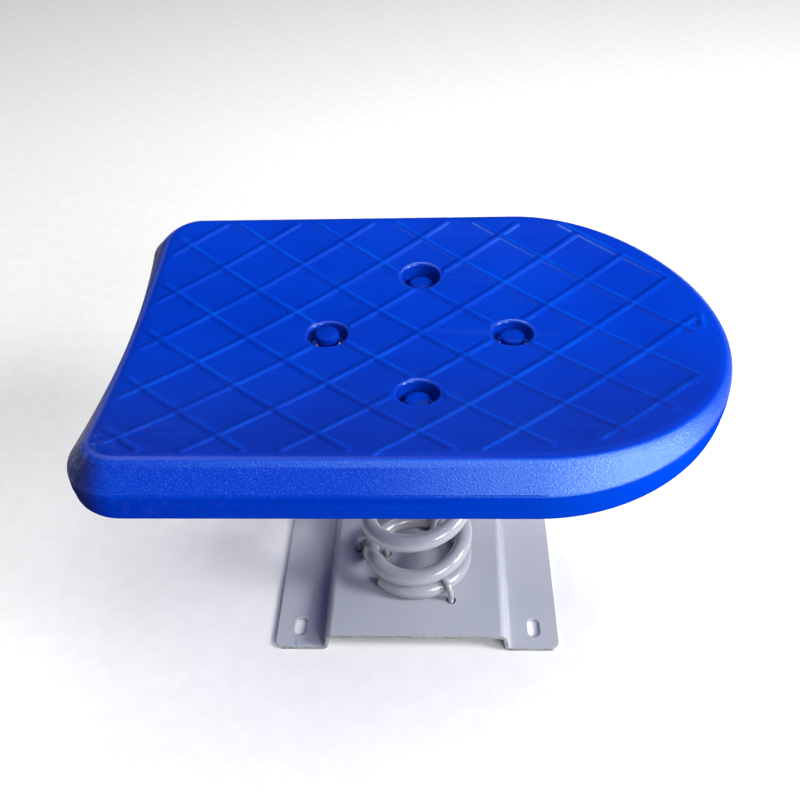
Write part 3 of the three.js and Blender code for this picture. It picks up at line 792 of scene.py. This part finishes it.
GRID_X, GRID_Y = grid_points()


def boundary_indices():
    """The grid's rim as (row, column) pairs, counter-clockwise seen from above."""
    loop = [(0, i) for i in range(COLUMNS)]
    loop += [(j, COLUMNS) for j in range(ROWS)]
    loop += [(ROWS, i) for i in range(COLUMNS, 0, -1)]
    loop += [(j, 0) for j in range(ROWS, 0, -1)]
    return loop


def rim_tree():
    rows, cols = np.array(boundary_indices()).T
    loop = np.c_[GRID_X[rows, cols], GRID_Y[rows, cols]]
    closed = np.vstack([loop, loop[:1]])
    length = np.r_[0, np.cumsum(np.linalg.norm(np.diff(closed, axis=0), axis=1))]
    at = np.arange(0, length[-1], 0.5)
    dense = np.c_[np.interp(at, length, closed[:, 0]), np.interp(at, length, closed[:, 1])]
    tree = kdtree.KDTree(len(dense))
    for i, (px, py) in enumerate(dense):
        tree.insert((px, py, 0), i)
    tree.balance()
    return tree


RIM_TREE = rim_tree()


def from_outline(x, y):
    """Distance in from the deck's outline."""
    flat = [RIM_TREE.find((px, py, 0))[2] for px, py in zip(np.ravel(x).tolist(), np.ravel(y).tolist())]
    return np.array(flat).reshape(np.shape(x)) + EDGE


def trough(y):
    edge = DECK_HALF_WIDTH - CHAMFER_INSET
    return RIM + DISH * ((y / edge) ** 2 - 1)


CHAMFER_SLOPE = (RIM - SHOULDER) / CHAMFER_INSET
CELL_X, CELL_Y = 47.35, 43.8  # half the diagonals of one diamond of the raised lattice
LATTICE_SKEW, LATTICE_Y = 1.45, 1.15  # the lattice leans a little to the back as it nears the nose
RIB_HALF, RIB_CREST = 5.4, 2.4
RIB_HEIGHT = {1: 1.2, -1: 1.0}  # ribs that run towards the back right, and towards the front right
NOSE_RIB_ENDS = {(1, 4): 6.0, (1, 6): 6.5, (1, 8): 5.9, (-1, 8): 6.0, (-1, 6): 6.3}  # in cells along X
NOSE_CORNER_RIBS = ((1, 4), (-1, 8))  # the two that run on until they meet
NOSE_HOOKS = ((6.5, 0.72, 0.55), (5.9, -1.88, 0.2))  # place and drop of each, in cells


def from_top_edge(x, y):
    return from_outline(x, y) - (trough(y) - SHOULDER) / CHAMFER_SLOPE


def lattice():
    """Centre lines of the ribs, each a straight run that ends short of the edge, with small hooks at the nose."""
    runs = []
    for lean in (1, -1):
        for k in range(-12, 13, 2):
            x = np.arange(-420.0, 420.0, 1.0)
            y = lean * (x / CELL_X - k) * CELL_Y + LATTICE_SKEW * x / CELL_X + LATTICE_Y
            inside = np.abs(y) < DECK_HALF_WIDTH - CHAMFER_INSET
            inside &= x < NOSE_RIB_ENDS.get((lean, k), 99.0) * CELL_X
            left, right = outline_x(y, 20.0)
            inside &= (x > left) & (x < right)
            x, y = x[inside], y[inside]
            if not len(x):
                continue
            margin = 9.0 if (lean, k) in NOSE_CORNER_RIBS else 14.0 + 8.0 * smooth(60.0, 140.0, x)
            good = from_top_edge(x, y) > margin
            if good.sum() < 12:
                continue
            x, y = x[good], y[good]
            runs.append((lean, x[0], y[0], x[-1], y[-1]))
    for x, y, drop in NOSE_HOOKS:
        runs.append((1, x * CELL_X, y * CELL_Y, (x - 0.05) * CELL_X, (y - drop) * CELL_Y))
    return runs


RIBS = lattice()


def rib_height(x, y):
    height = np.zeros(np.shape(x))
    for lean, x0, y0, x1, y1 in RIBS:
        dx, dy = x1 - x0, y1 - y0
        t = np.clip(((x - x0) * dx + (y - y0) * dy) / (dx * dx + dy * dy), 0, 1)
        off = np.hypot(x - x0 - t * dx, y - y0 - t * dy)
        height = np.maximum(height, RIB_HEIGHT[lean] * smooth(RIB_HALF, RIB_CREST, off))
    for bx, by in BOLT_PLACES.values():
        height = height * smooth(RECESS_R + 3, RECESS_R + 7, np.hypot(x - bx, y - by))
    return height


def rib_flanks(x, y):
    """How much painted highlight, on a rib's flank towards +X, and painted shade, at its foot towards -X, each place
    holds.
    """
    bright, flank_shade = np.zeros(np.shape(x)), np.zeros(np.shape(x))
    for _, x0, y0, x1, y1 in RIBS:
        dx, dy = x1 - x0, y1 - y0
        length = math.hypot(dx, dy)
        t = ((x - x0) * dx + (y - y0) * dy) / length**2
        on = smooth(-2.0 / length, 4.0 / length, t) * smooth(1 + 2.0 / length, 1 - 4.0 / length, t)
        off = ((x - x0) * dy - (y - y0) * dx) / length * (1 if dy > 0 else -1)
        bright = np.maximum(bright, on * smooth(2.4, 0.6, np.abs(off - 2.8)))
        flank_shade = np.maximum(flank_shade, on * smooth(3.0, 0.8, np.abs(off + 3.2)))
    return bright, flank_shade


def deck_height(x, y, depth):
    """Top surface: the trough and the chamfer, blended over a soft edge, and the ribs."""
    soft = 10.0
    dish, slope = trough(y), SHOULDER + depth * CHAMFER_SLOPE
    h = np.maximum(soft - np.abs(dish - slope), 0) / soft
    return np.minimum(dish, slope) - h * h * soft / 4 + rib_height(x, y)


def well_rings(points, angle, bx, by):
    """Rings from a window's edge in to the rolled lip and down the recess to its floor."""
    rings = []
    start = RECESS_R + 4.0
    circle_xy = np.c_[bx + start * np.cos(angle), by + start * np.sin(angle)]
    for t in np.linspace(1, 0, 9)[1:]:
        xy = circle_xy + (points - circle_xy) * t
        z = deck_height(xy[:, 0], xy[:, 1], from_outline(xy[:, 0], xy[:, 1]))
        rings.append(np.c_[xy, z])
    for r, drop in ((2.6, 0.05), (1.9, 0.2), (1.3, 0.5), (0.8, 1.0), (0.4, 1.8), (0.1, 3.0), (0.0, 4.6)):
        x, y = bx + (RECESS_R + r) * np.cos(angle), by + (RECESS_R + r) * np.sin(angle)
        rings.append(np.c_[x, y, trough(y) - drop])
    rim_z = rings[-1][:, 2]
    for r, share, rise in ((-0.3, 0.5, 0.0), (-0.6, 1.0, 2.2), (-0.9, 1.0, 1.0), (-1.6, 1.0, 0.3), (-2.6, 1.0, 0.0)):
        x, y = bx + (RECESS_R + r) * np.cos(angle), by + (RECESS_R + r) * np.sin(angle)
        rings.append(np.c_[x, y, rim_z + (RECESS_FLOOR + rise - rim_z) * share])
    for r in (14.0, 9.0):
        rings.append(np.c_[bx + r * np.cos(angle), by + r * np.sin(angle), np.full(len(angle), RECESS_FLOOR)])
    return rings


def deck_mesh():
    depth = from_outline(GRID_X, GRID_Y)
    z = deck_height(GRID_X, GRID_Y, depth)
    verts = [np.c_[GRID_X.ravel(), GRID_Y.ravel(), z.ravel()]]
    wide = COLUMNS + 1
    hole = np.zeros((ROWS, COLUMNS), bool)
    faces = []
    base = verts[0].shape[0]
    for bx, by in BOLT_PLACES.values():
        rows = np.where(np.abs(GRID_Y[:, 0] - by) <= 31)[0]
        j0, j1 = rows[0], rows[-1]
        middle = (j0 + j1) // 2
        cols = np.where(np.abs(GRID_X[middle] - bx) <= 31)[0]
        i0, i1 = cols[0], cols[-1]
        hole[j0:j1, i0:i1] = True
        loop = [(j0, i) for i in range(i0, i1)] + [(j, i1) for j in range(j0, j1)]
        loop += [(j1, i) for i in range(i1, i0, -1)] + [(j, i0) for j in range(j1, j0, -1)]
        jj, ii = np.array(loop).T
        points = np.c_[GRID_X[jj, ii], GRID_Y[jj, ii]]
        angle = np.arctan2(points[:, 1] - by, points[:, 0] - bx)
        rings = well_rings(points, angle, bx, by)
        count = len(loop)
        ids = [jj * wide + ii] + [base + k * count + np.arange(count) for k in range(len(rings))]
        for a, b in zip(ids, ids[1:]):
            an, bn = np.roll(a, -1), np.roll(b, -1)
            faces.extend(zip(a.tolist(), an.tolist(), bn.tolist(), b.tolist()))
        faces.append(tuple(ids[-1].tolist()))
        verts.extend(rings)
        base += count * len(rings)

    jj, ii = np.where(~hole)
    a = jj * wide + ii
    faces.extend(zip(a.tolist(), (a + 1).tolist(), (a + wide + 1).tolist(), (a + wide).tolist()))

    jj, ii = np.array(boundary_indices()).T
    rim_ids = jj * wide + ii
    rim = verts[0][rim_ids]
    tangent = np.roll(rim, -1, axis=0) - np.roll(rim, 1, axis=0)
    out = np.c_[tangent[:, 1], -tangent[:, 0]]
    out /= np.linalg.norm(out, axis=1)[:, None]
    count = len(rim)
    profile = [  # (distance inside the outline, height from the shoulder)
        (1.35, 1.05), (0.8, 0.3), (0.4, -0.6), (0.15, -1.7), (0.0, -3.2), (0.0, -8.0), (0.0, -14.2),
        (0.1, -14.9), (0.4, -15.3), (0.5, -15.9), (0.8, -20.0), (1.2, -24.0),
        (1.6, -26.5), (2.1, -28.3), (2.9, -29.6), (4.0, -30.4), (5.1, -30.85), (UNDER_ROUND + 0.5, -31.0),
    ]
    flat_rim = SHOULDER + EDGE * CHAMFER_SLOPE
    last = rim_ids
    for inset, height in profile:
        share = max(0.0, (height + 3.2) / 5.0)
        xy = rim[:, :2] + out * (EDGE - inset)
        ring = np.c_[xy, SHOULDER + height + share * (rim[:, 2] - flat_rim)]
        ids = base + np.arange(count)
        a, b = last, ids
        an, bn = np.roll(a, -1), np.roll(b, -1)
        faces.extend(zip(a.tolist(), b.tolist(), bn.tolist(), an.tolist()))
        verts.append(ring)
        last = ids
        base += count
    faces.append(tuple(last[::-1].tolist()))
    return np.vstack(verts), faces


def add_deck():
    verts, faces = deck_mesh()
    used = np.zeros(len(verts), bool)
    for f in faces:
        used[list(f)] = True
    index = np.cumsum(used) - 1
    verts = verts[used] + [DECK_X, 0, 0]
    faces = [tuple(index[list(f)].tolist()) for f in faces]
    deck = make_object("deck_moulding", verts, faces, BLUE, 30.0)
    tools = [prism(circle(6.5, DECK_X + x, y), DECK_BOTTOM - 1, RECESS_FLOOR + 1) for x, y in BOLT_PLACES.values()]
    tools.append(prism(circle(VENT_R, DECK_X + VENT_X, 0), DECK_BOTTOM - 1, DECK_BOTTOM + 10))
    for offset, _ in U_BOLTS:
        angle = math.radians(WIRE_START + WIRE_TURN - offset)
        x, y = SPRING_X + COIL_R * math.cos(angle), SPRING_Y + COIL_R * math.sin(angle)
        plan = slot_outline(2 * (LEG_OFFSET + POCKET_R), 2 * POCKET_R, x, y, angle)
        tools.append(prism(plan, DECK_BOTTOM - 1, DECK_BOTTOM + POCKET_HEIGHT))
    cut(deck, join(tools))
    finish_shading(deck, 35.0)
    for face in deck.data.polygons:
        face.use_smooth = face.normal.z > -0.9999  # the level underside is shaded flat
    paint_deck(deck)
    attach(deck, "deck")
    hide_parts("deck_shell")


def paint_deck(deck):
    """Where the moulding is chamfer, where it is rubbed, and where painted light and painted shade go."""
    mesh = deck.data
    co = np.zeros(len(mesh.vertices) * 3)
    mesh.vertices.foreach_get("co", co)
    co = co.reshape(-1, 3) / MM - [DECK_X, 0, 0]
    normal = np.zeros(len(mesh.vertices) * 3)
    mesh.vertex_normals.foreach_get("vector", normal)
    nz = normal.reshape(-1, 3)[:, 2]
    x, y, z = co.T
    far = np.min([np.hypot(x - bx, y - by) for bx, by in BOLT_PLACES.values()], axis=0)
    slope = smooth(SHOULDER - 2, SHOULDER + 2, z) * smooth(0.95, 0.85, nz) * smooth(0.3, 0.6, nz)
    set_attribute(deck, "slope", slope * smooth(RECESS_R + 6, RECESS_R + 12, far))
    above = smooth(DECK_BOTTOM + 0.5, DECK_BOTTOM + 6.0, z)  # the underside is plain
    side = smooth(SHOULDER + 1, SHOULDER - 3, z) * smooth(RECESS_R + 6, RECESS_R + 12, far)
    set_attribute(deck, "side", np.maximum(side, 1 - above))
    # Painted sheen: a mask rising towards the right front that lightens and glosses the chamfer and band where the
    # light falls.
    painted_sheen = above * smooth(-70.0, 130.0, x) * (1 - 0.65 * smooth(240.0, 300.0, x))
    set_attribute(deck, "painted_sheen", painted_sheen)
    on_top = smooth(0.92, 0.97, nz) * smooth(SHOULDER, SHOULDER + 3, z) * smooth(RECESS_R + 3, RECESS_R + 8, far)
    # Painted highlight along each rib's +X flank and painted shade at its -X foot.
    bright, flank_shade = rib_flanks(x, y)
    set_attribute(deck, "ridge", bright * on_top)
    set_attribute(deck, "foot", flank_shade * on_top)
    # Painted shade: dark on the tail end's side and chamfer, where they face away from the light, and darker towards
    # the front of the top.
    rear = above * smooth(-285.0, -312.0, x) * smooth(0.90, 0.72, nz)
    set_attribute(deck, "painted_shade", 0.85 * rear + 0.26 * smooth(40.0, -200.0, y) * on_top)
    set_attribute(deck, "lip", above * smooth(RECESS_R + 5, RECESS_R + 2, far))
    corner = smooth(30.0, 6.0, np.hypot(x + 316, y + 200))
    left = smooth(-170.0, -290.0, x) * smooth(-90.0, -180.0, y)
    # Painted highlight: a thin line along the top edge at the tail end.
    rim = smooth(-240.0, -280.0, x) * smooth(3.5, 1.0, np.abs(from_top_edge(x, y) - 1.0)) * smooth(0.6, 0.8, nz)
    set_attribute(deck, "wear", above * (0.25 * corner + 0.03 * left))
    set_attribute(deck, "rim", rim)


# ---- Assembly -------------------------------------------------------------------------------
add_base()
add_spring()
add_clamps()
add_top_plate()
add_deck_fasteners()
add_deck()


# ---- Floor, light and camera ----------------------------------------------------------------
def add_floor():
    size, steps = 6000.0, 24
    at = np.linspace(-size, size, steps + 1)
    gx, gy = np.meshgrid(at, at)
    verts = np.c_[gx.ravel(), gy.ravel(), np.full(gx.size, -0.2)]
    wide = steps + 1
    faces = [
        (j * wide + i, j * wide + i + 1, (j + 1) * wide + i + 1, (j + 1) * wide + i)
        for j in range(steps)
        for i in range(steps)
    ]
    make_object("floor", verts, faces, floor_paper())


def add_area_light(name, place, target, size, energy, color=(1, 1, 1)):
    light = bpy.data.lights.new(name, "AREA")
    light.shape = "RECTANGLE"
    light.size, light.size_y = size
    light.energy = energy
    light.color = color
    obj = bpy.data.objects.new(name, light)
    obj.location = place
    obj.rotation_euler = (Vector(target) - Vector(place)).to_track_quat("-Z", "Y").to_euler()
    bpy.context.scene.collection.objects.link(obj)


CAMERA_PLACE = Vector((0.02624, -0.84856, 1.03166))
CAMERA_TURN = (0.7009, -0.0446, 0.0617)  # down, roll and turn to the left, in radians
CAMERA_LENS = 43.3719  # on a sensor 36 mm wide
CAMERA_SHIFT = 0.0041375


def add_camera():
    data = bpy.data.cameras.new("camera")
    obj = bpy.data.objects.new("camera", data)
    bpy.context.scene.collection.objects.link(obj)
    pitch, roll, yaw = CAMERA_TURN
    ahead = Vector((0, math.cos(pitch), -math.sin(pitch)))
    right = Vector((1, 0, 0))
    up = right.cross(ahead)
    turn = Matrix.Rotation(yaw, 3, "Z")
    ahead, right, up = turn @ ahead, turn @ right, turn @ up
    right, up = math.cos(roll) * right + math.sin(roll) * up, -math.sin(roll) * right + math.cos(roll) * up
    matrix = Matrix((right, up, -ahead)).transposed().to_4x4()
    matrix.translation = CAMERA_PLACE
    obj.matrix_world = matrix
    data.sensor_width = 36.0
    data.lens = CAMERA_LENS
    data.shift_x = CAMERA_SHIFT
    data.clip_start, data.clip_end = 0.05, 50.0
    bpy.context.scene.camera = obj


def add_world():
    world = bpy.data.worlds.new("studio")
    world.use_nodes = True
    sky = world.node_tree.nodes["Background"]
    sky.inputs["Color"].default_value = (0.95, 0.97, 1.0, 1)
    sky.inputs["Strength"].default_value = 0.08
    bpy.context.scene.world = world


add_floor()
add_world()
add_area_light("key", (1.9, -2.7, 2.05), (0, 0, 0.35), (1.2, 1.2), 75.0, (1.0, 0.99, 0.98))
add_area_light("side", (3.2, -0.9, 2.0), (0, 0, 0.4), (1.0, 1.0), 150.0)
add_area_light("overhead", (0.0, 0.5, 5.0), (0, 0.5, 0), (6.0, 6.0), 200.0)
add_area_light("back", (0.2, 0.9, 1.9), (0, 0.1, 0.4), (0.6, 0.6), 7.0)
add_camera()
bpy.context.scene.view_settings.view_transform = "Standard"
